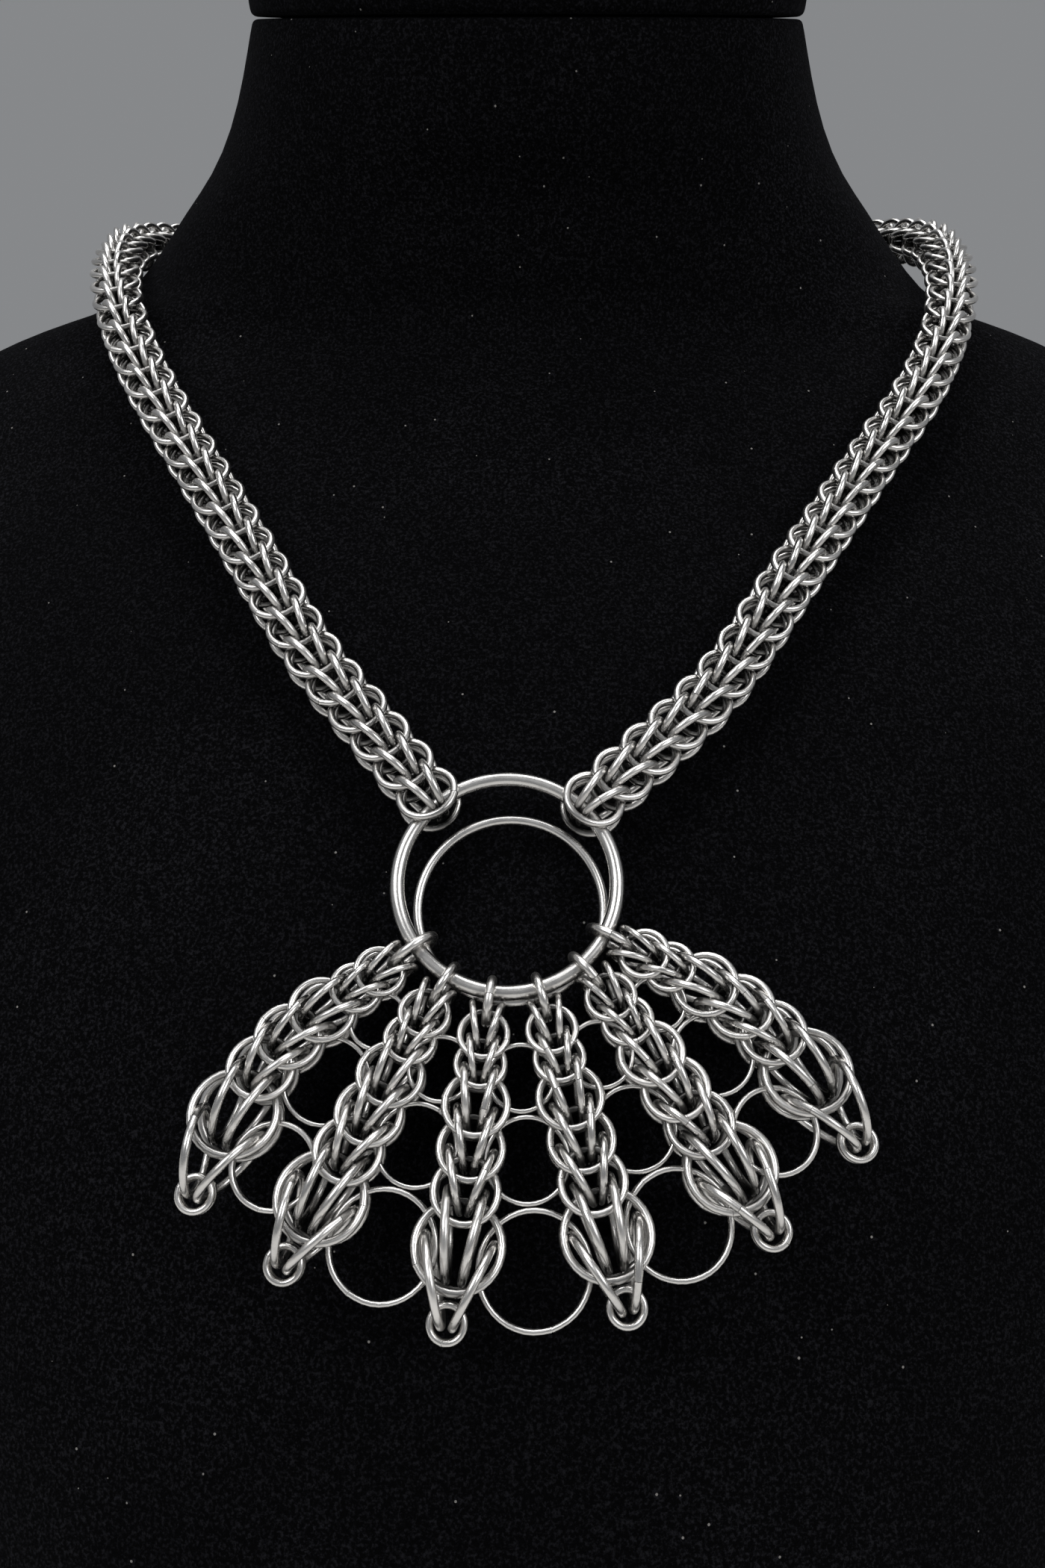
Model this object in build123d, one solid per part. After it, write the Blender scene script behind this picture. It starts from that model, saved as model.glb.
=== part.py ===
from build123d import *
import math
import os

# Chainmail necklace on a plain velvet neck bust.
# Origin: middle of the bust's underside. +Z up, the necklace faces -Y, and +X is the viewer's right.

# Bust: the throat hollow's height above the table, the shoulders and the neck
THROAT_HEIGHT = 205.0
BUST_HALF_WIDTH = 145.0
BUST_HALF_DEPTH = 81.0
BUST_MIDDLE_Y = 73.7
CAP_THICKNESS = 12.0
CAP_EDGE = 4.0
CAP_SEAM = 0.3

# Pendant: the middle of the outer ring, and the slope of the plane that hangs against the chest
PENDANT_X = -3.24
PENDANT_Y = -7.3
PENDANT_BELOW_THROAT = 12.4
PENDANT_SLOPE = 28.0

# Big rings: radius to the middle of the wire, and wire diameter
OUTER_RING_R = 16.0
OUTER_RING_WIRE = 2.02
INNER_RING_R = 13.6
INNER_RING_WIRE = 1.38
INNER_RING_ASIDE = 0.54
INNER_RING_BELOW = 3.4
INNER_RING_BEHIND = 1.95

# Chainmail rings of the strands
SMALL_R = 3.31
SMALL_WIRE = 0.75
MEDIUM_R = 4.25
MEDIUM_WIRE = 0.87
LARGE_R = 5.7
LARGE_WIRE = 0.97
TIP_R = 2.25
TIP_WIRE = 0.82
CONNECTOR_WIRE = 1.1
CLEARANCE = 0.12
STRAND_START_R = 22.2

# Linking rings between neighbouring strands, in pairs that lie one behind the other
LINK_WIRE = 0.5
FOOT_LINK_WIRE = 0.6
LINK_GAP = 0.12

# Neck chain: outer diameter of the woven chain, its gap to the outer ring, and how much of the shorter run
# beside a corner of its route the rounding arc takes
CHAIN_DIAMETER = 9.5
CHAIN_CLEAR = 0.35
CHAIN_ARC_SHARE = 0.45

# Each row of a strand has two edge rings, seen side on, and two face rings, seen round.
# step: from the row above, as a share of the two rows' mean radius. lead: how far the edge rings stand
# above the face rings, as a share of the row's radius. edge and face: half the distance between the two
# rings of that pair, as a share of the radius. Tilts are in degrees.
ROWS = [
    dict(size="small", step=0.0, lead=0.37, edge=0.402, edge_tilt=13.8, face=0.467, face_tilt=14.8),
    dict(size="small", step=1.209, lead=0.181, edge=0.375, edge_tilt=13.1, face=0.521, face_tilt=16.6),
    dict(size="medium", step=1.432, lead=0.235, edge=0.356, edge_tilt=9.4, face=0.495, face_tilt=13.2),
    dict(size="medium", step=1.339, lead=0.281, edge=0.369, edge_tilt=13.8, face=0.484, face_tilt=14.9),
    dict(size="medium", step=1.278, lead=0.309, edge=0.421, edge_tilt=17.2, face=0.521, face_tilt=14.8),
    dict(size="large", step=1.36, lead=0.215, edge=0.31, edge_tilt=7.5, face=0.377, face_tilt=12.2),
]

# Each strand leaves the big rings at an angle from straight down, and turns from one heading to another.
# bend_from and bend_to are shares of the length of its six rows, drop is the last step in large radii.
STRANDS = [
    dict(angle=-53.4, top=-54.7, foot=-24.6, bend_from=0.277, bend_to=1.02, drop=1.979),
    dict(angle=-30.9, top=-27.5, foot=-29.5, bend_from=0.29, bend_to=1.32, drop=1.65),
    dict(angle=-8.1, top=-5.6, foot=-8.5, bend_from=0.29, bend_to=1.32, drop=1.65),
    dict(angle=16.5, top=14.5, foot=15.5, bend_from=0.29, bend_to=1.32, drop=1.61),
    dict(angle=41.0, top=34.0, foot=33.5, bend_from=0.29, bend_to=1.32, drop=1.65),
    dict(angle=61.1, top=61.9, foot=35.2, bend_from=0.24, bend_to=1.08, drop=1.974),
]

# Three rows of linking rings: the strand row whose edge rings they hold, and their wire
LINK_ROWS = [
    dict(name="top", row=2, wire=LINK_WIRE),
    dict(name="middle", row=4, wire=LINK_WIRE),
    dict(name="foot", row=5, wire=FOOT_LINK_WIRE),
]

# One line for each gap between strands. For each row: how far the linking rings' middle lies below the
# row's face rings, and how deep they reach into the edge rings, both as shares of that row's radius.
LINK_SEATS = [
    dict(top=-1.312, top_bite=0.334, middle=-1.317, middle_bite=0.424, foot=0.34, foot_bite=0.435),
    dict(top=-0.973, top_bite=0.264, middle=-1.162, middle_bite=0.485, foot=0.235, foot_bite=0.509),
    dict(top=-1.001, top_bite=0.292, middle=-1.133, middle_bite=0.485, foot=0.287, foot_bite=0.509),
    dict(top=-1.001, top_bite=0.268, middle=-1.105, middle_bite=0.447, foot=0.296, foot_bite=0.47),
    dict(top=-1.142, top_bite=0.306, middle=-1.293, middle_bite=0.424, foot=0.296, foot_bite=0.47),
]

RING = {
    "small": (SMALL_R, SMALL_WIRE),
    "medium": (MEDIUM_R, MEDIUM_WIRE),
    "large": (LARGE_R, LARGE_WIRE),
}

PENDANT_Z = THROAT_HEIGHT - PENDANT_BELOW_THROAT
SLOPE = math.radians(PENDANT_SLOPE)
MIDDLE = Vector(PENDANT_X, PENDANT_Y, PENDANT_Z)
RIGHT = Vector(1, 0, 0)
DOWN = Vector(0, -math.sin(SLOPE), -math.cos(SLOPE))
FRONT = Vector(0, -math.cos(SLOPE), math.sin(SLOPE))


def ring(centre, first, second, radius, wire):
    """A round wire ring in the plane of two directions."""
    plane = Plane(origin=centre, x_dir=first, z_dir=first.cross(second))
    return plane * Torus(radius, wire / 2)


def on_pendant(right, down, front=0.0):
    return MIDDLE + RIGHT * right + DOWN * down + FRONT * front


def headed(degrees):
    """Direction in the pendant plane, turned from straight down towards the right."""
    turn = math.radians(degrees)
    return RIGHT * math.sin(turn) + DOWN * math.cos(turn)


def save(name, solids):
    shape = solids[0] if len(solids) == 1 else Compound(children=solids)
    shape.label = name
    export_step(shape, f"parts/{name}.step")


# Stations of the six rows, measured along a strand
def row_stations():
    stations = []
    place = 0.0
    for i, row in enumerate(ROWS):
        radius = RING[row["size"]][0]
        above = RING[ROWS[max(i - 1, 0)]["size"]][0]
        place += row["step"] * (radius + above) / 2
        stations.append(place)
    return stations


STATIONS = row_stations()
ROWS_LENGTH = STATIONS[-1]


def heading(strand, station):
    share = (station / ROWS_LENGTH - strand["bend_from"]) / (strand["bend_to"] - strand["bend_from"])
    share = min(max(share, 0.0), 1.0)
    return strand["top"] + (strand["foot"] - strand["top"]) * share * share * (3 - 2 * share)


def along_strand(strand, station, steps=60):
    """Place of a station on the strand's middle line."""
    place = MIDDLE + headed(strand["angle"]) * STRAND_START_R
    length = station / steps
    for i in range(steps):
        place += headed(heading(strand, (i + 0.5) * length)) * length
    return place


def axes(strand, station):
    """Place, direction along the strand and direction across it, to its right."""
    turn = heading(strand, station)
    return along_strand(strand, station), headed(turn), headed(turn + 90)


def edge_pair(strand, station, radius, wire, spread, tilt):
    """Two rings seen side on, whose tops lean outwards."""
    place, along, across = axes(strand, station)
    lean = math.radians(tilt)
    rings = []
    for side in (-1, 1):
        up = across * side * math.sin(lean) - along * math.cos(lean)
        rings.append(ring(place + across * side * spread, FRONT, up, radius, wire))
    return rings


def face_pair(strand, station, radius, wire, spread, tilt):
    """Two rings seen round, one in front and one behind, whose tops lean together."""
    place, along, across = axes(strand, station)
    lean = math.radians(tilt)
    rings = []
    for side in (-1, 1):
        up = FRONT * -side * math.sin(lean) - along * math.cos(lean)
        rings.append(ring(place + FRONT * side * spread, across, up, radius, wire))
    return rings


# Foot of a strand: two large rings that nearly touch at the bottom, through the two tip rings
FOOT_TILT = 19.5
FOOT_PINCH = LARGE_WIRE / 2 + CLEARANCE * 2
TIP_SPREAD = TIP_WIRE / 2 + CLEARANCE * 1.5
TIP_LIFT = (LARGE_WIRE + TIP_WIRE) / 4


def strand_rings(strand):
    rings = []
    for row, station in zip(ROWS, STATIONS):
        radius, wire = RING[row["size"]]
        above = station - row["lead"] * radius
        rings += edge_pair(strand, above, radius, wire, row["edge"] * radius, row["edge_tilt"])
        rings += face_pair(strand, station, radius, wire, row["face"] * radius, row["face_tilt"])
    tip = ROWS_LENGTH + strand["drop"] * LARGE_R
    lean = math.radians(FOOT_TILT)
    foot = tip - LARGE_R * math.cos(lean) + TIP_LIFT
    rings += edge_pair(strand, foot, LARGE_R, LARGE_WIRE, FOOT_PINCH + LARGE_R * math.sin(lean), FOOT_TILT)
    rings += face_pair(strand, tip, TIP_R, TIP_WIRE, TIP_SPREAD, 0.0)
    return rings


def inner_ring_reach(degrees):
    """Distance from the outer ring's middle to the inner ring's wire, at an angle from straight down."""
    turn = math.radians(degrees)
    along = INNER_RING_ASIDE * math.sin(turn) + INNER_RING_BELOW * math.cos(turn)
    across = INNER_RING_ASIDE * math.cos(turn) - INNER_RING_BELOW * math.sin(turn)
    return along + math.sqrt(INNER_RING_R**2 - across**2)


ROUND_STEPS = 200
ROUND_SLOWING = 0.94


def smallest_round(discs):
    """Centre and radius of the smallest circle round some discs, each (x, y, radius)."""
    x = sum(disc[0] for disc in discs) / len(discs)
    y = sum(disc[1] for disc in discs) / len(discs)
    move = SMALL_R
    for _ in range(ROUND_STEPS):
        far = max(discs, key=lambda disc: math.hypot(disc[0] - x, disc[1] - y) + disc[2])
        away = math.hypot(far[0] - x, far[1] - y)
        x += (far[0] - x) / away * move
        y += (far[1] - y) / away * move
        move *= ROUND_SLOWING
    return x, y, max(math.hypot(disc[0] - x, disc[1] - y) + disc[2] for disc in discs)


def connector(strand):
    """One stout ring round both big rings and the tops of the strand's first two face rings."""
    lean = math.radians(ROWS[0]["face_tilt"])
    top = STRAND_START_R - SMALL_R * math.cos(lean)
    apart = ROWS[0]["face"] * SMALL_R - SMALL_R * math.sin(lean)
    reach, front, held = smallest_round([
        (OUTER_RING_R, 0.0, OUTER_RING_WIRE / 2),
        (inner_ring_reach(strand["angle"]), -INNER_RING_BEHIND, INNER_RING_WIRE / 2),
        (top, apart, SMALL_WIRE / 2),
        (top, -apart, SMALL_WIRE / 2),
    ])
    out = headed(strand["angle"])
    centre = MIDDLE + out * reach + FRONT * front
    return ring(centre, out, FRONT, held + CLEARANCE + CONNECTOR_WIRE / 2, CONNECTOR_WIRE)


SEAT_STEPS = 5


def link_pair(left, right, seat, row):
    """Two thin rings, back and front, that hold one edge ring of each neighbouring strand."""
    radius = RING[ROWS[row["row"]]["size"]][0]
    station = STATIONS[row["row"]] + seat[row["name"]] * radius
    place = station
    for _ in range(SEAT_STEPS):
        first = along_strand(left, place)
        second = along_strand(right, place)
        half_gap = (second - first).length / 2
        half_turn = math.radians(heading(right, place) - heading(left, place)) / 2
        place = station + half_gap * math.sin(half_turn)
    across = headed((heading(right, place) + heading(left, place)) / 2 + 90)
    along = FRONT.cross(across)
    reach = half_gap * math.cos(half_turn) - seat[row["name"] + "_bite"] * radius
    apart = (row["wire"] + LINK_GAP) / 2
    return [
        ring((first + second) * 0.5 + FRONT * side * apart, across, along, reach, row["wire"])
        for side in (-1, 1)
    ]


# Sections of the bust. height: share of THROAT_HEIGHT. width and depth: shares of the half width and half
# depth. middle: share of BUST_MIDDLE_Y. tilt: degrees, front edge down.
BUST_SECTIONS = [
    dict(height=0.0, width=0.634, middle=0.475, depth=0.864, tilt=0),
    dict(height=0.366, width=0.807, middle=0.502, depth=1.0, tilt=0),
    dict(height=0.707, width=0.897, middle=0.678, depth=0.926, tilt=0),
    dict(height=1.0, width=0.986, middle=1.0, depth=0.819, tilt=0),
    dict(height=1.127, width=1.0, middle=1.137, depth=0.75, tilt=0),
    dict(height=1.254, width=0.993, middle=1.285, depth=0.645, tilt=0),
    dict(height=1.322, width=0.966, middle=1.35, depth=0.61, tilt=0),
    dict(height=1.39, width=0.89, middle=1.425, depth=0.562, tilt=0),
    dict(height=1.424, width=0.785, middle=1.438, depth=0.58, tilt=0),
    dict(height=1.454, width=0.645, middle=1.42, depth=0.59, tilt=2),
    dict(height=1.507, width=0.565, middle=1.39, depth=0.6, tilt=5),
    dict(height=1.541, width=0.53, middle=1.37, depth=0.61, tilt=8),
    dict(height=1.595, width=0.465, middle=1.33, depth=0.645, tilt=15),
    dict(height=1.654, width=0.423, middle=1.289, depth=0.675, tilt=20),
    dict(height=1.732, width=0.393, middle=1.221, depth=0.691, tilt=25),
]

# Even sections that a smooth curve takes from those rows
BUST_STEPS = 26


def apart(lower, upper):
    """Distance between two sections of the bust, in their sizes and places together."""
    rise = (upper["height"] - lower["height"]) * THROAT_HEIGHT
    widening = (upper["width"] - lower["width"]) * BUST_HALF_WIDTH
    leaning = (upper["middle"] - lower["middle"]) * BUST_MIDDLE_Y
    deepening = (upper["depth"] - lower["depth"]) * BUST_HALF_DEPTH
    return math.hypot(rise, widening, leaning, deepening)


def slopes(places, values):
    """Slope of a smooth curve at each of its points."""
    runs = [(after - before) for before, after in zip(places, places[1:])]
    rates = [(after - before) / run for before, after, run in zip(values, values[1:], runs)]
    inner = []
    for run, next_run, rate, next_rate in zip(runs, runs[1:], rates, rates[1:]):
        inner.append((next_run * rate + run * next_rate) / (run + next_run))
    return [rates[0]] + inner + [rates[-1]]


def smooth_value(places, values, place):
    """Value at a place on a smooth curve through points."""
    i = max(k for k in range(len(places) - 1) if places[k] <= place + 1e-9)
    slope = slopes(places, values)
    run = places[i + 1] - places[i]
    t = (place - places[i]) / run
    ease = t * t * (3 - 2 * t)
    start = t * (1 - t) ** 2 * run * slope[i]
    end = t * t * (t - 1) * run * slope[i + 1]
    return values[i] * (1 - ease) + values[i + 1] * ease + start + end


def even_sections():
    places = [0.0]
    for lower, upper in zip(BUST_SECTIONS, BUST_SECTIONS[1:]):
        places.append(places[-1] + apart(lower, upper))
    rows = []
    for step in range(BUST_STEPS):
        place = places[-1] * step / (BUST_STEPS - 1)
        rows.append({
            key: smooth_value(places, [row[key] for row in BUST_SECTIONS], place)
            for key in BUST_SECTIONS[0]
        })
    return rows


def section(row):
    centre = Vector(0, row["middle"] * BUST_MIDDLE_Y, row["height"] * THROAT_HEIGHT)
    tilt = math.radians(row["tilt"])
    plane = Plane(origin=centre, x_dir=RIGHT, z_dir=Vector(0, -math.sin(tilt), math.cos(tilt)))
    return plane, plane * Ellipse(row["width"] * BUST_HALF_WIDTH, row["depth"] * BUST_HALF_DEPTH)


def bust():
    """The loft runs on past the neck's top, which keeps its surface steady there, and is cut off at the top."""
    rows = even_sections()
    top, below = rows[-1], rows[-2]
    for steps in (1, 2):
        rows.append({key: top[key] + (top[key] - below[key]) * steps for key in top})
    tall = loft([section(row)[1] for row in rows])
    return tall.split(section(top)[0], keep=Keep.BOTTOM)


def neck_cap():
    plane, outline = section(BUST_SECTIONS[-1])
    lifted = outline.moved(Location(plane.z_dir * CAP_SEAM))
    cap = extrude(lifted, amount=CAP_THICKNESS, dir=plane.z_dir)
    top_edge = cap.edges().sort_by(Axis(plane.origin, plane.z_dir))[-1]
    return fillet(top_edge, CAP_EDGE)


# Routes of the two neck chains' middle lines, from the shoulder to the nape: to the viewer's right,
# back from the throat hollow and above it. The necklace hangs a little unevenly, so they differ.
CHAIN_LEFT_ROUTE = [
    (-26.3, 8.4, 11.0),
    (-34.1, 13.8, 18.8),
    (-42.0, 20.8, 30.0),
    (-50.6, 30.4, 41.9),
    (-60.7, 41.0, 55.6),
    (-70.8, 50.6, 69.8),
    (-79.4, 62.6, 85.3),
    (-84.8, 78.6, 98.2),
    (-86.6, 97.0, 107.6),
    (-81.0, 119.0, 113.8),
    (-64.6, 139.0, 117.4),
    (-41.0, 152.5, 119.3),
    (-19.0, 158.5, 119.5),
    (0.0, 158.5, 119.5),
]
CHAIN_RIGHT_ROUTE = [
    (26.1, 8.3, 11.2),
    (33.6, 13.7, 19.1),
    (41.8, 20.6, 30.3),
    (51.3, 30.6, 41.6),
    (62.0, 41.3, 54.8),
    (73.4, 51.0, 68.2),
    (82.3, 63.0, 83.8),
    (87.4, 79.0, 97.6),
    (89.0, 97.0, 108.3),
    (83.0, 119.0, 115.0),
    (65.5, 139.0, 118.0),
    (41.0, 152.5, 119.3),
    (19.0, 158.5, 119.5),
    (0.0, 158.5, 119.5),
]
# Angles from straight up at which the two chain ends hook on the outer ring
CHAIN_END_LEFT = -41.9
CHAIN_END_RIGHT = 46.0


def chain_points(route, end_angle):
    """Points of one half of the neck chain, from the outer ring to the nape."""
    start = OUTER_RING_R + OUTER_RING_WIRE / 2 + CHAIN_CLEAR
    points = [MIDDLE + headed(180 - end_angle) * start]
    points += [Vector(right, back, THROAT_HEIGHT + above) for right, back, above in route]
    return points


def route_radii(points):
    """Arc radii for a route's corners: as large as the two runs beside each corner allow."""
    radii = []
    for before, here, after in zip(points, points[1:], points[2:]):
        turn = math.radians((here - before).get_angle(after - here))
        shorter = min((here - before).length, (after - here).length)
        radii.append(CHAIN_ARC_SHARE * shorter / math.tan(turn / 2))
    return radii


def chain_tube(name, points):
    radii = route_radii(points)
    path = FilletPolyline(*points, radius=radii)
    start = Plane(origin=path @ 0, z_dir=path % 0)
    tube = sweep(start * Circle(CHAIN_DIAMETER / 2), path=path)
    full = math.pi * CHAIN_DIAMETER**2 / 4 * path.length
    print(name, "length", round(path.length, 1), "volume share", round(tube.volume / full, 5))
    print(name, "radii", [round(radius, 1) for radius in radii])
    return tube


def main():
    os.makedirs("parts", exist_ok=True)
    save("bust", [bust()])
    save("neck_cap", [neck_cap()])
    save("outer_ring", [ring(MIDDLE, RIGHT, DOWN, OUTER_RING_R, OUTER_RING_WIRE)])
    inner_middle = on_pendant(INNER_RING_ASIDE, INNER_RING_BELOW, -INNER_RING_BEHIND)
    save("inner_ring", [ring(inner_middle, RIGHT, DOWN, INNER_RING_R, INNER_RING_WIRE)])
    for number, strand in enumerate(STRANDS, 1):
        save(f"connector_{number}", [connector(strand)])
        save(f"strand_{number}", strand_rings(strand))
    for number, (left, right, seat) in enumerate(zip(STRANDS, STRANDS[1:], LINK_SEATS), 1):
        for row in LINK_ROWS:
            back, front = link_pair(left, right, seat, row)
            save(f"link_{row['name']}_{number}_back", [back])
            save(f"link_{row['name']}_{number}_front", [front])
    left_points = chain_points(CHAIN_LEFT_ROUTE, CHAIN_END_LEFT)
    right_points = chain_points(CHAIN_RIGHT_ROUTE, CHAIN_END_RIGHT)
    save("neck_chain_left", [chain_tube("neck_chain_left", left_points)])
    save("neck_chain_right", [chain_tube("neck_chain_right", right_points)])


main()
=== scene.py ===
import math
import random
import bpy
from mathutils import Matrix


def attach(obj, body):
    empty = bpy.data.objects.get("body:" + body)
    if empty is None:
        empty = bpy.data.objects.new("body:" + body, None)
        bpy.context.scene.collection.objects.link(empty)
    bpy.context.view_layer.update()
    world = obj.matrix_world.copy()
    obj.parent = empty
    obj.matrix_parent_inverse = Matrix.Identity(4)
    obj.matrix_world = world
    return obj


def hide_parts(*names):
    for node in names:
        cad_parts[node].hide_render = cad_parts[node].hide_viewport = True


bl_info = {
    "name": "Chainmail Necklace",
    "version": (1, 0, 0),
    "blender": (4, 5, 0),
    "location": "3D View > Sidebar > Necklace",
    "description": "Steel chainmail necklace on a black velvet neck bust",
    "category": "Add Mesh",
}

import bmesh
import bpy
import numpy as np
from bpy.props import FloatProperty, FloatVectorProperty, IntProperty, PointerProperty
from mathutils import Matrix, Quaternion, Vector

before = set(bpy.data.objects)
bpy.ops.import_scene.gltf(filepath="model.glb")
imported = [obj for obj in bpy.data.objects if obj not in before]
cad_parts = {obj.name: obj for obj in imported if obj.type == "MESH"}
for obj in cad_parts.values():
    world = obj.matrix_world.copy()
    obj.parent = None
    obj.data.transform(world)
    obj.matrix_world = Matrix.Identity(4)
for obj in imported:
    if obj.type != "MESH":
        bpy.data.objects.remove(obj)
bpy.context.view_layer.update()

MM = 0.001
UP = Vector((0, 0, 1))
RIGHT = Vector((1, 0, 0))
# A little off the straight way, so that no ring's axis lies square to it
TOWARDS_VIEWER = Vector((0.3, -1.0, 0.1))
THROAT_HEIGHT = 205.0

# The solids' wires are thinner than the real ones, to keep clear of each other. Real rings
# touch, so here each wire is as full as it looks on the real necklace.
BIG_RING_FULLNESS = 1.08
STRAND_FULLNESS = 1.2
LINK_FULLNESS = 1.3

# Steps round a ring and sides of its wire
BIG_RING_MESH = (64, 12)
CONNECTOR_MESH = (20, 8)
LINK_MESH = (20, 6)
WEAVE_MESH = (16, 6)
SMOOTH_LEVELS = 1

STRANDS = 6
LINKS_IN_A_ROW = 5
RINGS_IN_A_ROW = 4
WOVEN_ROWS = 6

# The middle lines of the two neck chains, in mm: to the viewer's right, back from the throat
# hollow and above it
CHAIN_ROUTES = {
    "left": [
        (-26.3, 8.4, 11.0),
        (-34.1, 13.8, 18.8),
        (-42.0, 20.8, 30.0),
        (-50.6, 30.4, 41.9),
        (-60.7, 41.0, 55.6),
        (-70.8, 50.6, 69.8),
        (-79.4, 62.6, 85.3),
        (-84.8, 78.6, 98.2),
        (-86.6, 97.0, 107.6),
        (-81.0, 119.0, 113.8),
        (-64.6, 139.0, 117.4),
        (-41.0, 152.5, 119.3),
        (-19.0, 158.5, 119.5),
        (0.0, 158.5, 119.5),
    ],
    "right": [
        (26.1, 8.3, 11.2),
        (33.6, 13.7, 19.1),
        (41.8, 20.6, 30.3),
        (51.3, 30.6, 41.6),
        (62.0, 41.3, 54.8),
        (73.4, 51.0, 68.2),
        (82.3, 63.0, 83.8),
        (87.4, 79.0, 97.6),
        (89.0, 97.0, 108.3),
        (83.0, 119.0, 115.0),
        (65.5, 139.0, 118.0),
        (41.0, 152.5, 119.3),
        (19.0, 158.5, 119.5),
        (0.0, 158.5, 119.5),
    ],
}
# Where each half leaves the big ring: degrees from the ring's top, and mm from its middle
CHAIN_ENDS = {"left": -41.9, "right": 46.0}
CHAIN_START = 17.36

# The neck chain's weave, as shares of its rings' radius and in degrees
CHAIN_LEAD = 0.175
FACE_SPREAD = 0.345
FACE_LEAN = 11.75
EDGE_SPREAD = 0.347
EDGE_LEAN = 11.9
CHAIN_FIRST = 0.084
NAPE_SPREAD = 0.48

# The chain lies a little turned about its own line, with its front towards the middle of the
# neck: mm along it and degrees
CHAIN_TURN_PLACES = (0.0, 12.0, 40.0, 110.0, 160.0, 300.0)
CHAIN_TURNS = (0.0, 0.0, 2.0, 5.0, 12.0, 0.0)

# How dark the shade painted into the steel's colour is deep inside the weave, where other rings
# keep the light off
PAINTED_RECESS_SHADE = 0.09

# Where the wire counts as deep inside the weave, with the full painted shade, and where as
# outside, with none, in radii of the ring from the middle line
RECESS_DEEP = 0.45
RECESS_OUTSIDE = 1.0

# Sections of the bust in mm: height, half width, middle's y, half depth, and tilt in degrees
# with the front edge down
BUST_SECTIONS = [
    (0.0, 91.9, 35.0, 70.0, 0),
    (75.0, 117.0, 37.0, 81.0, 0),
    (144.9, 130.1, 50.0, 75.0, 0),
    (205.0, 143.0, 73.7, 66.3, 0),
    (231.0, 145.0, 83.8, 60.8, 0),
    (257.1, 144.0, 94.7, 52.2, 0),
    (271.0, 140.1, 99.5, 49.4, 0),
    (285.0, 129.1, 105.0, 45.5, 0),
    (291.9, 113.8, 106.0, 47.0, 0),
    (298.1, 93.5, 104.7, 47.8, 2),
    (308.9, 81.9, 102.4, 48.6, 5),
    (315.9, 76.9, 101.0, 49.4, 8),
    (327.0, 67.4, 98.0, 52.2, 15),
    (339.1, 61.3, 95.0, 54.7, 20),
    (355.1, 57.0, 90.0, 56.0, 25),
]
BUST_ROWS = 40
BUST_SIDES = 72
CAP_SEAM = 0.3
CAP_THICKNESS = 12.0
CAP_EDGE = 4.0
# How far in from its edge, in mm, a flat end of the velvet has its two inner loops
END_INSETS = (6.0, 15.0)

# Soft lights: name, place in metres, width and depth in metres, power in watts
LAMPS = [
    ("key_softbox", (-0.5, -0.55, 0.95), (0.45, 0.45), 5.5),
    ("fill_softbox", (0.6, -0.6, 0.75), (0.45, 0.45), 3.6),
    ("top_softbox", (0.0, 0.1, 1.2), (0.7, 0.5), 5.0),
]
LAMP_TARGET = (0.0, 0.0, 0.2)

# The camera as worked out from the photo: focal length and frame height in pixels, place in
# metres, and tilt in degrees from straight down
FOCAL_PIXELS = 1550
FRAME_PIXELS = 2100
SENSOR = 36.0
CAMERA_PLACE = (-0.001, -0.1722, 0.2303)
CAMERA_TILT = 82.0


# Sizes and colours a user may change


class NecklaceSizes(bpy.types.PropertyGroup):
    chain_ring_radius: FloatProperty(
        name="Chain ring radius",
        description="Radius to the middle of the wire of each neck chain ring",
        default=4.25 * MM,
        min=0.002,
        max=0.008,
        precision=5,
        subtype="DISTANCE",
        unit="LENGTH",
    )
    chain_wire: FloatProperty(
        name="Chain wire",
        description="Thickness of the neck chain's wire",
        default=1.2 * MM,
        min=0.0004,
        max=0.002,
        precision=5,
        subtype="DISTANCE",
        unit="LENGTH",
    )
    chain_pitch: FloatProperty(
        name="Chain pitch",
        description="Distance between two neighbouring rows of the neck chain",
        default=6.27 * MM,
        min=0.003,
        max=0.01,
        precision=5,
        subtype="DISTANCE",
        unit="LENGTH",
    )
    seam: FloatProperty(
        name="Butt seam",
        description="Gap between the two cut ends of each ring's wire",
        default=0.07 * MM,
        min=0.00002,
        max=0.0005,
        precision=6,
        subtype="DISTANCE",
        unit="LENGTH",
    )
    edge_rounding: FloatProperty(
        name="Velvet edge rounding",
        description="Radius of the padded velvet edges at the base and at the neck",
        default=1.6 * MM,
        min=0.0005,
        max=0.005,
        precision=5,
        subtype="DISTANCE",
        unit="LENGTH",
    )


class NecklaceColours(bpy.types.PropertyGroup):
    steel: FloatVectorProperty(
        name="Steel",
        description="Colour of the bare steel wire",
        default=(0.72, 0.705, 0.685),
        size=3,
        min=0.0,
        max=1.0,
        subtype="COLOR",
    )
    steel_roughness: FloatProperty(
        name="Steel roughness",
        description="How satin the wire looks",
        default=0.28,
        min=0.05,
        max=0.8,
        subtype="FACTOR",
    )
    velvet: FloatVectorProperty(
        name="Velvet",
        description="Colour of the velvet pile",
        default=(0.0010, 0.0010, 0.0012),
        size=3,
        min=0.0,
        max=1.0,
        subtype="COLOR",
    )


class NecklaceStage(bpy.types.PropertyGroup):
    floor: FloatVectorProperty(
        name="Floor",
        description="Colour of the plain floor",
        default=(0.74, 0.73, 0.71),
        size=3,
        min=0.0,
        max=1.0,
        subtype="COLOR",
    )
    room_light: FloatProperty(
        name="Room light",
        description="Strength of the even light from all round",
        default=0.3,
        min=0.0,
        max=3.0,
    )
    floor_size: IntProperty(
        name="Floor size",
        description="Length of the floor's side in metres",
        default=12,
        min=2,
        max=40,
    )


# Shader maths as Python sums

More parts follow.
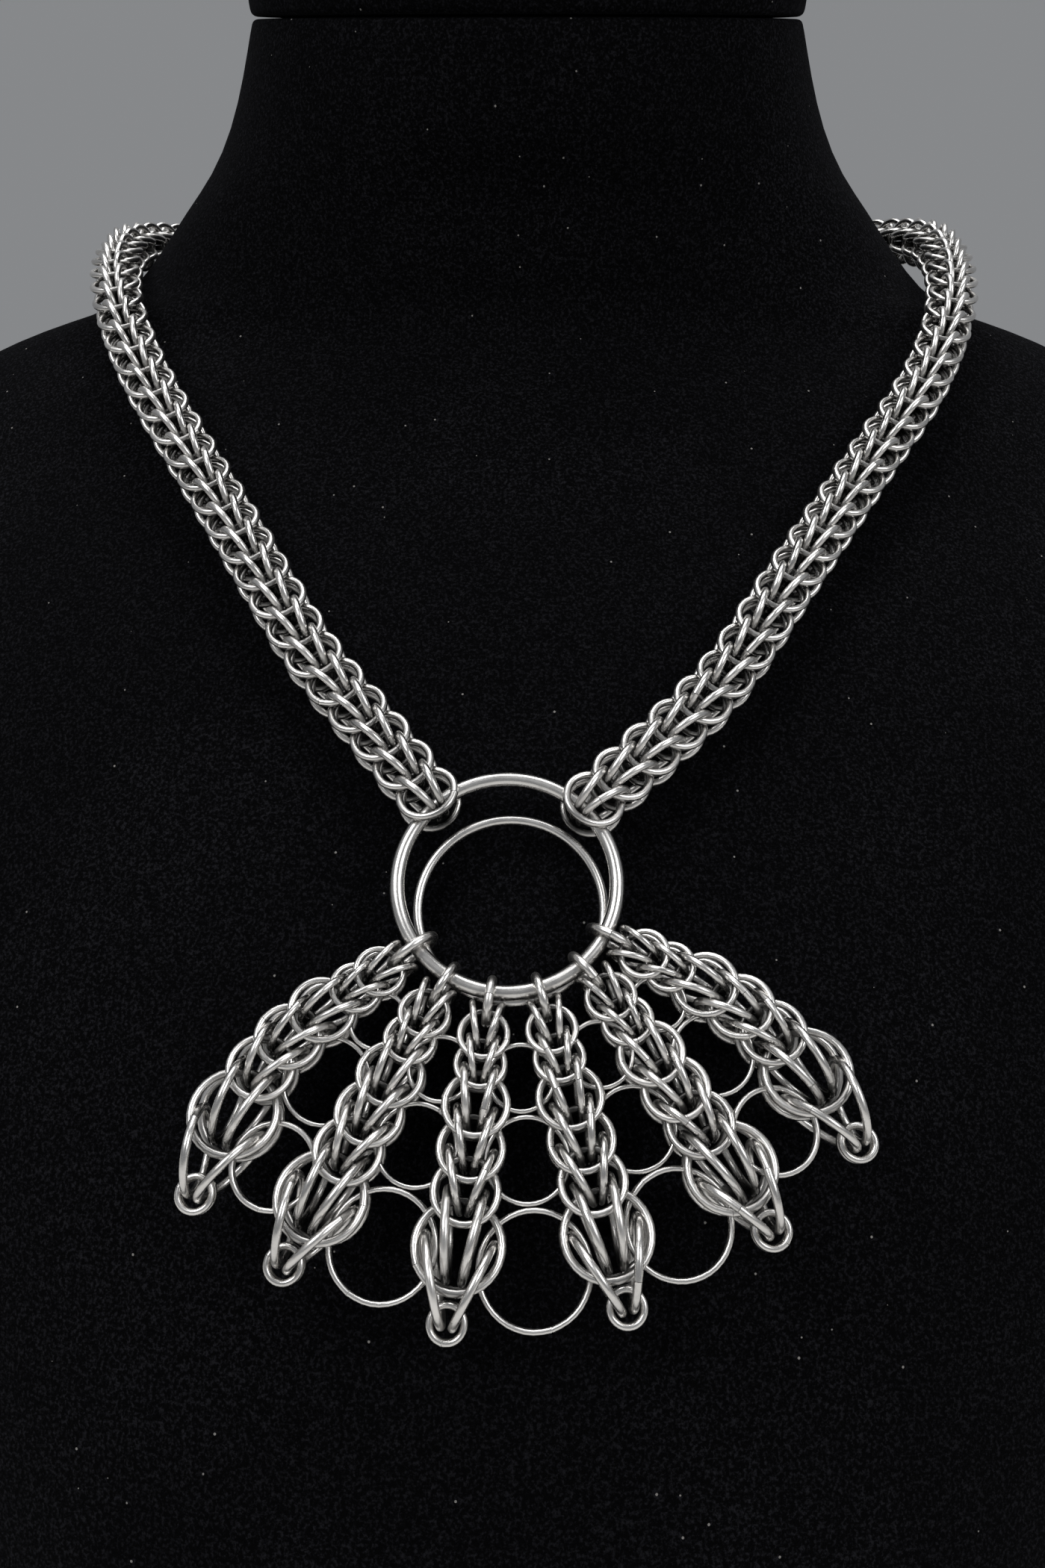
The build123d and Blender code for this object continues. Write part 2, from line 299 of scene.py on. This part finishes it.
# Places of the colour sockets on a Mix node, which has others of the same names
FACTOR = 0
FIRST_COLOUR = 6
SECOND_COLOUR = 7
MIXED_COLOUR = 2


class Signal:
    """A shader socket. A sum on it adds the Math node that works it out."""

    def __init__(self, tree, socket):
        self.tree = tree
        self.socket = socket

    def node(self, kind, settings, inputs, output=0):
        """Adds a node, with its settings first and then its sockets' values or links."""
        made = self.tree.nodes.new(kind)
        for key, value in settings.items():
            setattr(made, key, value)
        for key, value in inputs.items():
            if isinstance(value, Signal):
                self.tree.links.new(value.socket, made.inputs[key])
            else:
                made.inputs[key].default_value = value
        return Signal(self.tree, made.outputs[output])

    def output(self, name):
        """Another output of the node that this signal comes from."""
        return Signal(self.tree, self.socket.node.outputs[name])

    def maths(self, operation, first, second):
        return self.node("ShaderNodeMath", {"operation": operation}, {0: first, 1: second})

    def __add__(self, other):
        return self.maths("ADD", self, other)

    __radd__ = __add__

    def __sub__(self, other):
        return self.maths("SUBTRACT", self, other)

    def __rsub__(self, other):
        return self.maths("SUBTRACT", other, self)

    def __mul__(self, other):
        return self.maths("MULTIPLY", self, other)

    __rmul__ = __mul__

    def __gt__(self, other):
        return self.maths("GREATER_THAN", self, other)

    def __lt__(self, other):
        return self.maths("LESS_THAN", self, other)

    def scaled(self, by):
        """The vector stretched by three factors."""
        return self.node("ShaderNodeVectorMath", {"operation": "MULTIPLY"}, {0: self, 1: by})

    def noise(self, scale, detail, rough):
        inputs = {"Vector": self, "Scale": scale, "Detail": detail, "Roughness": rough}
        return self.node("ShaderNodeTexNoise", {}, inputs)

    def between(self, low, high):
        """0 at low, 1 at high, and eased between them."""
        settings = {"interpolation_type": "SMOOTHSTEP"}
        inputs = {"Value": self, "From Min": low, "From Max": high}
        return self.node("ShaderNodeMapRange", settings, inputs)

    def mix(self, first, second):
        """A colour from first, at 0, to second, at 1."""
        low, high = (
            value if isinstance(value, Signal) else (*value, 1.0) for value in (first, second)
        )
        settings = {"data_type": "RGBA"}
        inputs = {FACTOR: self, FIRST_COLOUR: low, SECOND_COLOUR: high}
        return self.node("ShaderNodeMix", settings, inputs, MIXED_COLOUR)


def new_finish(name):
    """A material with one Principled shader, and a signal to start its sums from."""
    material = bpy.data.materials.new(name)
    material.use_nodes = True
    shader = material.node_tree.nodes["Principled BSDF"]
    return material, shader, Signal(material.node_tree, shader.outputs[0])


def feed(shader, socket, value):
    """Sets a socket of the shader to a value, or links it to a signal."""
    if isinstance(value, Signal):
        value.tree.links.new(value.socket, shader.inputs[socket])
    else:
        shader.inputs[socket].default_value = value


def steel_finish(name, streaks):
    """Satin drawn steel: lines along the wire, smudges, grime, a tone for each ring, and painted
    shade deep in the weave.
    """
    colours = bpy.context.scene.necklace_colours
    material, shader, start = new_finish(name)
    along = start.node("ShaderNodeUVMap", {"uv_map": "wire"}, {})
    place = start.node("ShaderNodeTexCoord", {}, {}, "Object")
    tone = start.node("ShaderNodeAttribute", {"attribute_name": "tone"}, {}, "Fac")
    painted_recess_shade = start.node("ShaderNodeAttribute", {"attribute_name": "painted_recess_shade"}, {}, "Fac")
    lines = along.scaled((0.35, 9.0, 1.0)).noise(streaks, 3.0, 0.6)
    smudges = place.noise(260.0, 3.0, 0.6).between(0.35, 0.7)
    grime = place.noise(900.0, 2.0, 0.55).between(0.56, 0.72)
    bright = Vector(colours.steel)
    clean = tone.mix(bright * 0.9, bright * 1.08)
    worn = (grime * 0.22 + smudges * 0.08).mix(clean, bright * 0.55)
    # The colour darkens towards the middle of the weave: painted shade where other rings keep the
    # light off
    feed(shader, "Base Color", painted_recess_shade.mix(worn, bright * PAINTED_RECESS_SHADE))
    feed(shader, "Metallic", 1.0)
    uneven = lines * 0.16 + smudges * 0.07 + tone * 0.05
    feed(shader, "Roughness", uneven + (colours.steel_roughness - 0.13))
    height = lines + grime * 0.4
    inputs = {"Strength": 0.22, "Distance": 0.02 * MM, "Height": height}
    feed(shader, "Normal", start.node("ShaderNodeBump", {}, inputs))
    return material


def velvet_finish(name):
    """Black velvet: short pile that lies in patches, a faint sheen, and a few specks of lint."""
    colours = bpy.context.scene.necklace_colours
    material, shader, start = new_finish(name)
    place = start.node("ShaderNodeTexCoord", {}, {}, "Object")
    pile = place.noise(1900.0, 2.0, 0.7)
    tufts = place.noise(700.0, 3.0, 0.65)
    patches = place.noise(22.0, 3.0, 0.55).between(0.4, 0.68)
    dark = Vector(colours.velvet)
    nap = (pile.between(0.44, 0.76) * (0.8 + patches * 0.35)).mix(dark, dark * 10.0)
    inputs = {"Vector": place, "Scale": 240.0, "Randomness": 1.0}
    cells = start.node("ShaderNodeTexVoronoi", {}, inputs)
    chance = start.node("ShaderNodeSeparateColor", {}, {"Color": cells.output("Color")}, "Red")
    lint = (cells < 0.045) * (chance > 0.4)
    feed(shader, "Base Color", (lint * 0.8).mix(nap, (0.22, 0.21, 0.2)))
    feed(shader, "Roughness", 0.93 - patches * 0.06)
    feed(shader, "Specular IOR Level", 0.02)
    feed(shader, "Sheen Weight", 0.004)
    feed(shader, "Sheen Roughness", 0.45)
    feed(shader, "Sheen Tint", (0.75, 0.8, 1.0, 1.0))
    inputs = {"Strength": 0.5, "Distance": 0.3 * MM, "Height": pile + tufts * 0.8}
    feed(shader, "Normal", start.node("ShaderNodeBump", {}, inputs))
    return material


# Pieces


def finish_piece(name, shell, material, nodes):
    """Turns a bmesh into a finished piece that rides on the body and stands for CAD nodes."""
    data = bpy.data.meshes.new(name)
    shell.to_mesh(data)
    shell.free()
    data.materials.append(material)
    piece = bpy.data.objects.new(name, data)
    bpy.context.scene.collection.objects.link(piece)
    smooth = piece.modifiers.new("smooth", "SUBSURF")
    smooth.levels = SMOOTH_LEVELS
    smooth.render_levels = SMOOTH_LEVELS
    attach(piece, "root")
    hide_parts(*nodes)


def round_wire(points):
    """Centre, axis, radius and wire thickness of the wire ring that these points lie on."""
    middle = points.mean(axis=0)
    flat = np.linalg.svd(points - middle, full_matrices=False)[2]
    places = points @ flat.T
    centre = ((places.max(axis=0) + places.min(axis=0)) / 2) @ flat
    apart = (points - centre) @ flat.T
    reach = np.hypot(apart[:, 0], apart[:, 1])
    axis = Vector(flat[2])
    if axis.dot(TOWARDS_VIEWER) < 0:
        axis.negate()
    return Vector(centre), axis, (reach.max() + reach.min()) / 2, reach.max() - reach.min()


def joined_to(first):
    """The points of a mesh that hang together with one of them."""
    group = [first]
    seen = {first}
    for point in group:
        for edge in point.link_edges:
            other = edge.other_vert(point)
            if other not in seen:
                seen.add(other)
                group.append(other)
    return group


def wires_of(node):
    """The round wire rings of a CAD node, in the order that its mesh has them."""
    shell = bmesh.new()
    shell.from_mesh(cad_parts[node].data)
    bmesh.ops.remove_doubles(shell, verts=shell.verts, dist=1e-7)
    seen = set()
    rings = []
    for first in shell.verts:
        if first not in seen:
            group = joined_to(first)
            seen.update(group)
            rings.append(round_wire(np.array([point.co for point in group])))
    shell.free()
    return rings


def start_shell():
    """An empty bmesh with the layers that the wire's finish reads."""
    shell = bmesh.new()
    shell.loops.layers.uv.new("wire")
    shell.verts.layers.float.new("tone")
    shell.verts.layers.float.new("painted_recess_shade")
    shell.edges.layers.float.new("crease_edge")
    return shell


def shrink(sides):
    """How far one level of subdivision pulls a ring of this many points towards its middle."""
    return (2 + math.cos(2 * math.pi / sides)) / 3


def add_ring(shell, ring, mesh, chance, fullness=1.0, core=None):
    """One wire ring: a round section spun from one cut end to the other, with a fine butt seam.

    mesh is the number of steps round the ring and of sides of the wire. core is a point on the
    middle line of the weave that the ring is in, and the line's direction.
    """
    centre, axis, radius, wire = ring
    steps, sides = mesh
    wire *= fullness
    seam = bpy.context.scene.necklace_sizes.seam / radius
    out = axis.orthogonal().normalized()
    out.rotate(Quaternion(axis, chance.uniform(0, 2 * math.pi)))
    along = axis.cross(out)
    reach = radius / shrink(steps)
    place = Matrix((out, -axis, along)).transposed().to_4x4()
    place.translation = centre + out * reach
    bent = start_shell()
    section = bmesh.ops.create_circle(
        bent, cap_ends=True, segments=sides, radius=wire / 2 / shrink(sides), matrix=place
    )["verts"]
    last = bmesh.ops.spin(
        bent,
        geom=bent.verts[:] + bent.edges[:] + bent.faces[:],
        cent=centre,
        axis=axis,
        angle=2 * math.pi - seam,
        steps=steps,
        use_duplicate=False,
    )["geom_last"]
    ends = [section, [one for one in last if isinstance(one, bmesh.types.BMVert)]]
    bmesh.ops.edgeloop_fill(bent, edges=[edge for edge in bent.edges if edge.is_boundary])
    bmesh.ops.recalc_face_normals(bent, faces=bent.faces)
    mark_wire(bent, (centre, axis, radius, wire), out, along, seam, chance)
    # Shade painted into the wire's colour, deepest at the weave's middle line
    if core:
        mark_painted_recess_shade(bent, core, radius)
    keep_ends_flat(bent, ends, centre, reach - radius)
    data = bpy.data.meshes.new("ring")
    bent.to_mesh(data)
    bent.free()
    shell.from_mesh(data)
    bpy.data.meshes.remove(data)


def keep_ends_flat(shell, ends, centre, pull):
    """Makes the wire's two cut ends sharp, and moves them in to where the rest is smoothed to."""
    crease = shell.edges.layers.float["crease_edge"]
    for end in ends:
        middle = sum((point.co for point in end), Vector()) / len(end)
        inwards = (centre - middle).normalized()
        for point in end:
            point.co += inwards * pull
        for edge in shell.edges:
            if edge.verts[0] in end and edge.verts[1] in end:
                edge[crease] = 1.0
                edge.smooth = False


def mark_wire(shell, ring, out, along, seam, chance):
    """Lays a map along the wire and round it, in mm, and gives the ring a tone."""
    centre, axis, radius, wire = ring
    uv = shell.loops.layers.uv["wire"]
    tone = shell.verts.layers.float["tone"]
    shade = chance.random()
    shift = chance.uniform(0, 400)
    for face in shell.faces:
        face.smooth = True
        spots = []
        for loop in face.loops:
            offset = loop.vert.co - centre
            turn = (math.atan2(offset.dot(along), offset.dot(out)) + seam / 4) % (2 * math.pi)
            rise = offset.dot(axis)
            flat = (offset - axis * rise).length - radius
            spots.append((turn, math.atan2(rise, flat)))
            loop.vert[tone] = shade
        top = max(spot[1] for spot in spots)
        for loop, (turn, round_it) in zip(face.loops, spots):
            if top - round_it > math.pi:
                round_it += 2 * math.pi
            across = round_it * wire / 2 / MM + shift
            loop[uv].uv = (turn * radius / MM + shift, across)


def mark_painted_recess_shade(shell, core, radius):
    """Marks how much painted shade each point of a ring gets, by how deep in the weave it lies: 0
    outside, 1 at the middle.
    """
    painted_recess_shade = shell.verts.layers.float["painted_recess_shade"]
    point, run = core
    for vertex in shell.verts:
        offset = vertex.co - point
        depth = (offset - run * offset.dot(run)).length / radius
        share = (RECESS_OUTSIDE - depth) / (RECESS_OUTSIDE - RECESS_DEEP)
        vertex[painted_recess_shade] = min(max(share, 0.0), 1.0)


# Operators


class NECKLACE_OT_big_rings(bpy.types.Operator):
    """The two big rings of thick wire that carry the strands"""

    bl_idname = "necklace.big_rings"
    bl_label = "Big rings"

    def execute(self, context):
        chance = random.Random(4)
        steel = steel_finish("satin_thick_wire", 1.0)
        for node in ("outer_ring", "inner_ring"):
            shell = start_shell()
            for ring in wires_of(node):
                add_ring(shell, ring, BIG_RING_MESH, chance, BIG_RING_FULLNESS)
            finish_piece(node + "_wire", shell, steel, [node])
        return {"FINISHED"}


def finish_chainmail(name, shell, nodes):
    """A finished piece in the steel that the connectors, strands and linking rings share."""
    steel = bpy.data.materials.get("satin_chainmail_wire")
    steel = steel or steel_finish("satin_chainmail_wire", 1.3)
    finish_piece(name, shell, steel, nodes)


class NECKLACE_OT_connectors(bpy.types.Operator):
    """The stout rings that hook each strand on both big rings"""

    bl_idname = "necklace.connectors"
    bl_label = "Connectors"

    def execute(self, context):
        chance = random.Random(12)
        for number in range(1, STRANDS + 1):
            node = f"connector_{number}"
            shell = start_shell()
            for ring in wires_of(node):
                add_ring(shell, ring, CONNECTOR_MESH, chance, STRAND_FULLNESS)
            finish_chainmail(node + "_wire", shell, [node])
        return {"FINISHED"}


def weave_cores(rings):
    """For each woven ring of a strand its row's middle and direction, and None for the rest."""
    middles = []
    for first in range(0, WOVEN_ROWS * RINGS_IN_A_ROW, RINGS_IN_A_ROW):
        row = rings[first:first + RINGS_IN_A_ROW]
        middles.append(sum((ring[0] for ring in row), Vector()) / RINGS_IN_A_ROW)
    cores = []
    for row, middle in enumerate(middles):
        run = middles[min(row + 1, WOVEN_ROWS - 1)] - middles[max(row - 1, 0)]
        cores += [(middle, run.normalized())] * RINGS_IN_A_ROW
    return cores + [None] * (len(rings) - len(cores))


class NECKLACE_OT_strands(bpy.types.Operator):
    """The six graduated chainmail strands with their tip rings"""

    bl_idname = "necklace.strands"
    bl_label = "Strands"

    def execute(self, context):
        chance = random.Random(21)
        for number in range(1, STRANDS + 1):
            node = f"strand_{number}"
            shell = start_shell()
            rings = wires_of(node)
            for ring, core in zip(rings, weave_cores(rings)):
                add_ring(shell, ring, WEAVE_MESH, chance, STRAND_FULLNESS, core)
            finish_chainmail(node + "_wire", shell, [node])
        return {"FINISHED"}


class NECKLACE_OT_linking_rings(bpy.types.Operator):
    """The thin doubled rings that tie neighbouring strands together"""

    bl_idname = "necklace.linking_rings"
    bl_label = "Linking rings"

    def execute(self, context):
        chance = random.Random(33)
        for row in ("top", "middle", "foot"):
            for number in range(1, LINKS_IN_A_ROW + 1):
                nodes = [f"link_{row}_{number}_{side}" for side in ("back", "front")]
                shell = start_shell()
                for node in nodes:
                    for ring in wires_of(node):
                        add_ring(shell, ring, LINK_MESH, chance, LINK_FULLNESS)
                finish_chainmail(f"link_{row}_{number}_wire", shell, nodes)
        return {"FINISHED"}


def smooth_line(points):
    """Close points along the smooth curve that a few chosen points draw."""
    curve = bpy.data.curves.new("route", "CURVE")
    curve.dimensions = "3D"
    curve.resolution_u = 24
    spline = curve.splines.new("NURBS")
    spline.points.add(len(points) - 1)
    for knot, point in zip(spline.points, points):
        knot.co = (*point, 1.0)
    spline.order_u = 3
    spline.use_endpoint_u = True
    holder = bpy.data.objects.new("route", curve)
    bpy.context.scene.collection.objects.link(holder)
    bpy.context.view_layer.update()
    line = bpy.data.meshes.new_from_object(holder)
    found = [vertex.co.copy() for vertex in line.vertices]
    bpy.data.objects.remove(holder)
    bpy.data.curves.remove(curve)
    bpy.data.meshes.remove(line)
    return found


class Route:
    """The middle line of a chain, with its length and the way its front faces.

    inwards is the way that the front turns towards the neck: 1 or -1.
    """

    def __init__(self, points, front, inwards):
        self.points = points
        self.inwards = inwards
        self.places = [0.0]
        for before, here in zip(points, points[1:]):
            self.places.append(self.places[-1] + (here - before).length)
        self.length = self.places[-1]
        self.fronts = []
        for i in range(len(points)):
            before = points[max(i - 1, 0)]
            after = points[min(i + 1, len(points) - 1)]
            run = (after - before).normalized()
            front = (front - run * front.dot(run)).normalized()
            self.fronts.append(front)

    def at(self, place):
        """The point at a distance along the line, and its direction, front and side there."""
        here = float(np.interp(place, self.places, range(len(self.places))))
        i = min(int(here), len(self.points) - 2)
        share = here - i
        middle = self.points[i].lerp(self.points[i + 1], share)
        before = self.points[max(i - 1, 0)]
        after = self.points[min(i + 2, len(self.points) - 1)]
        run = (after - before).normalized()
        front = self.fronts[i].lerp(self.fronts[i + 1], share)
        front = (front - run * front.dot(run)).normalized()
        turn = float(np.interp(place / MM, CHAIN_TURN_PLACES, CHAIN_TURNS))
        front.rotate(Quaternion(run, math.radians(turn * self.inwards)))
        return middle, run, front, run.cross(front)


def chain_half(shell, route, last_pair, chance):
    """Rows of the weave up to the nape: front and back rings, then side rings, and so on."""
    sizes = bpy.context.scene.necklace_sizes
    radius, wire = sizes.chain_ring_radius, sizes.chain_wire
    first = CHAIN_FIRST * radius
    rows = round((route.length - first) / sizes.chain_pitch)
    pitch = (route.length - first) / rows
    face_lean = math.radians(FACE_LEAN)
    edge_lean = math.radians(EDGE_LEAN)
    for row in range(rows):
        middle, run, front, side = route.at(first + row * pitch)
        for way in (-1, 1):
            axis = front * math.cos(face_lean) + run * way * math.sin(face_lean)
            centre = middle + front * way * FACE_SPREAD * radius
            add_ring(shell, (centre, axis, radius, wire), WEAVE_MESH, chance, core=(middle, run))
        middle, run, front, side = route.at(first + row * pitch + CHAIN_LEAD * radius)
        for way in (-1, 1):
            axis = side * math.cos(edge_lean) - run * way * math.sin(edge_lean)
            centre = middle + side * way * EDGE_SPREAD * radius
            add_ring(shell, (centre, axis, radius, wire), WEAVE_MESH, chance, core=(middle, run))
    if last_pair:
        middle, run, front, side = route.at(route.length)
        for way in (-1, 1):
            centre = middle + front * way * NAPE_SPREAD * radius
            add_ring(shell, (centre, front, radius, wire), WEAVE_MESH, chance, core=(middle, run))


class NECKLACE_OT_neck_chain(bpy.types.Operator):
    """The woven chain that runs from the big ring round the neck and back"""

    bl_idname = "necklace.neck_chain"
    bl_label = "Neck chain"

    def execute(self, context):
        chance = random.Random(47)
        steel = steel_finish("satin_neck_chain_wire", 1.3)
        middle, front = wires_of("outer_ring")[0][:2]
        up = front.cross(RIGHT)
        for name, inwards in (("left", 1), ("right", -1)):
            end = math.radians(CHAIN_ENDS[name])
            points = [middle + (RIGHT * math.sin(end) + up * math.cos(end)) * CHAIN_START * MM]
            for aside, back, above in CHAIN_ROUTES[name]:
                points.append(Vector((aside, back, THROAT_HEIGHT + above)) * MM)
            shell = start_shell()
            chain_half(shell, Route(smooth_line(points), front, inwards), name == "left", chance)
            node = "neck_chain_" + name
            finish_piece(node + "_weave", shell, steel, [node])
        return {"FINISHED"}


def slopes(places, values):
    """Slope of a smooth curve at each of its points."""
    runs = np.diff(places)
    rates = np.diff(values) / runs
    inner = (runs[1:] * rates[:-1] + runs[:-1] * rates[1:]) / (runs[1:] + runs[:-1])
    return np.concatenate(([rates[0]], inner, [rates[-1]]))


def even_sections(count):
    """Evenly spaced sections along the smooth outline that the bust's chosen sections draw."""
    table = np.array(BUST_SECTIONS, float)
    steps = np.linalg.norm(np.diff(table[:, :4], axis=0), axis=1)
    places = np.concatenate(([0.0], np.cumsum(steps)))
    spots = np.linspace(0, places[-1], count)
    columns = []
    for values in table.T:
        slope = slopes(places, values)
        i = np.clip(np.searchsorted(places, spots, "right") - 1, 0, len(places) - 2)
        run = places[i + 1] - places[i]
        t = (spots - places[i]) / run
        ease = t * t * (3 - 2 * t)
        bend = t * (1 - t) ** 2 * run * slope[i] + t * t * (t - 1) * run * slope[i + 1]
        columns.append(values[i] * (1 - ease) + values[i + 1] * ease + bend)
    return np.array(columns).T


def section_place(section, narrow=0.0):
    """The matrix that puts a unit circle on a section of the bust, drawn in by some mm."""
    height, width, middle, depth, tilt = section
    turn = Matrix.Rotation(math.radians(tilt), 4, "X")
    size = Matrix.Diagonal(((width - narrow) * MM, (depth - narrow) * MM, MM, 1.0))
    return Matrix.Translation(Vector((0, middle, height)) * MM) @ turn @ size


def padded_form(name, places, material, node):
    """A closed piece of padded velvet whose outline runs through unit circles at these places."""
    shell = bmesh.new()
    ring = bmesh.ops.create_circle(
        shell, cap_ends=False, segments=BUST_SIDES, radius=1.0, matrix=places[0]
    )["verts"]
    first = list(dict.fromkeys(edge for point in ring for edge in point.link_edges))
    edges = first
    for before, after in zip(places, places[1:]):
        made = bmesh.ops.extrude_edge_only(shell, edges=edges)["geom"]
        points = [one for one in made if isinstance(one, bmesh.types.BMVert)]
        edges = [one for one in made if isinstance(one, bmesh.types.BMEdge) and one.is_boundary]
        bmesh.ops.transform(shell, matrix=after @ before.inverted(), verts=points)
    for loop in (first, edges):
        cap = bmesh.ops.edgeloop_fill(shell, edges=loop)["faces"]
        for inset in END_INSETS:
            bmesh.ops.inset_region(shell, faces=cap, thickness=inset * MM, depth=0.0)
    bmesh.ops.recalc_face_normals(shell, faces=shell.faces)
    for face in shell.faces:
        face.smooth = True
    finish_piece(name, shell, material, [node])


class NECKLACE_OT_bust(bpy.types.Operator):
    """The velvet neck bust and the cap on its neck"""

    bl_idname = "necklace.bust"
    bl_label = "Velvet bust"

    def execute(self, context):
        velvet = velvet_finish("black_velvet")
        rounding = context.scene.necklace_sizes.edge_rounding / MM
        sections = even_sections(BUST_ROWS)
        # A rounded edge, from the flat end round to the side: mm in from the side, and mm from
        # the end
        edge = []
        for turn in (0.0, math.pi / 8, math.pi / 4, math.pi * 3 / 8):
            edge.append((rounding * (1 - math.sin(turn)), rounding * (1 - math.cos(turn))))
        places = []
        for inset, rise in edge:
            place = section_place(sections[0], inset)
            places.append(Matrix.Translation(UP * rise * MM) @ place)
        places += [section_place(section) for section in sections[1:-1]]
        for inset, fall in reversed(edge):
            place = section_place(sections[-1], inset)
            lower = place.to_3x3().col[2].normalized() * fall * MM
            places.append(Matrix.Translation(-lower) @ place)
        padded_form("velvet_bust", places, velvet, "bust")

        # The cap stands on the neck's tilted top
        top = sections[-1]
        lift = Matrix.Rotation(math.radians(top[4]), 4, "X") @ UP
        levels = [(CAP_SEAM + rise, inset) for inset, rise in edge]
        levels += [(CAP_THICKNESS * share, 0.0) for share in (0.3, 0.45, 0.6)]
        for angle in range(0, 91, 15):
            turn = math.radians(angle)
            height = CAP_SEAM + CAP_THICKNESS - CAP_EDGE * (1 - math.sin(turn))
            levels.append((height, CAP_EDGE * (1 - math.cos(turn))))
        places = []
        for height, inset in levels:
            places.append(Matrix.Translation(lift * height * MM) @ section_place(top, inset))
        padded_form("velvet_neck_cap", places, velvet, "neck_cap")
        return {"FINISHED"}


def add_light(name, place, size, power):
    """A soft box that faces the necklace."""
    data = bpy.data.lights.new(name, "AREA")
    data.shape = "RECTANGLE"
    data.size, data.size_y = size
    data.energy = power
    lamp = bpy.data.objects.new(name, data)
    lamp.location = place
    view = Vector(LAMP_TARGET) - Vector(place)
    lamp.rotation_euler = view.to_track_quat("-Z", "Y").to_euler()
    bpy.context.scene.collection.objects.link(lamp)


class NECKLACE_OT_stage(bpy.types.Operator):
    """A plain pale floor, soft studio light and the camera"""

    bl_idname = "necklace.stage"
    bl_label = "Stage"

    def execute(self, context):
        scene = context.scene
        half = scene.necklace_stage.floor_size / 2
        shell = bmesh.new()
        bmesh.ops.create_grid(shell, x_segments=1, y_segments=1, size=half)
        data = bpy.data.meshes.new("floor")
        shell.to_mesh(data)
        shell.free()
        material, shader = new_finish("pale_floor")[:2]
        feed(shader, "Base Color", (*scene.necklace_stage.floor, 1.0))
        feed(shader, "Roughness", 0.85)
        data.materials.append(material)
        floor = bpy.data.objects.new("floor", data)
        scene.collection.objects.link(floor)

        world = bpy.data.worlds.new("pale_room")
        world.use_nodes = True
        room = world.node_tree.nodes["Background"]
        room.inputs["Color"].default_value = (0.8, 0.82, 0.85, 1.0)
        room.inputs["Strength"].default_value = scene.necklace_stage.room_light
        scene.world = world

        for lamp in LAMPS:
            add_light(*lamp)

        data = bpy.data.cameras.new("camera")
        data.sensor_fit = "AUTO"
        data.sensor_width = SENSOR
        data.lens = FOCAL_PIXELS / FRAME_PIXELS * SENSOR
        data.clip_start = 0.005
        camera = bpy.data.objects.new("camera", data)
        camera.location = CAMERA_PLACE
        camera.rotation_euler = (math.radians(CAMERA_TILT), 0.0, 0.0)
        scene.collection.objects.link(camera)
        scene.camera = camera
        scene.view_settings.view_transform = "Standard"
        return {"FINISHED"}


class NECKLACE_PT_panel(bpy.types.Panel):
    """Buttons that build the necklace, its bust and the stage"""

    bl_idname = "NECKLACE_PT_panel"
    bl_label = "Chainmail Necklace"
    bl_space_type = "VIEW_3D"
    bl_region_type = "UI"
    bl_category = "Necklace"

    def draw(self, context):
        layout = self.layout
        scene = context.scene
        for group in (scene.necklace_sizes, scene.necklace_colours, scene.necklace_stage):
            for key in group.bl_rna.properties.keys():
                if key not in ("rna_type", "name"):
                    layout.prop(group, key)
        for operator in OPERATORS:
            layout.operator(operator.bl_idname)


OPERATORS = [
    NECKLACE_OT_big_rings,
    NECKLACE_OT_connectors,
    NECKLACE_OT_strands,
    NECKLACE_OT_linking_rings,
    NECKLACE_OT_neck_chain,
    NECKLACE_OT_bust,
    NECKLACE_OT_stage,
]
CLASSES = [NecklaceSizes, NecklaceColours, NecklaceStage, *OPERATORS, NECKLACE_PT_panel]


def register():
    for one in CLASSES:
        bpy.utils.register_class(one)
    bpy.types.Scene.necklace_sizes = PointerProperty(type=NecklaceSizes)
    bpy.types.Scene.necklace_colours = PointerProperty(type=NecklaceColours)
    bpy.types.Scene.necklace_stage = PointerProperty(type=NecklaceStage)


def unregister():
    del bpy.types.Scene.necklace_stage
    del bpy.types.Scene.necklace_colours
    del bpy.types.Scene.necklace_sizes
    for one in reversed(CLASSES):
        bpy.utils.unregister_class(one)


def main():
    register()
    bpy.ops.necklace.big_rings()
    bpy.ops.necklace.connectors()
    bpy.ops.necklace.strands()
    bpy.ops.necklace.linking_rings()
    bpy.ops.necklace.neck_chain()
    bpy.ops.necklace.bust()
    bpy.ops.necklace.stage()


if __name__ == "__main__":
    main()
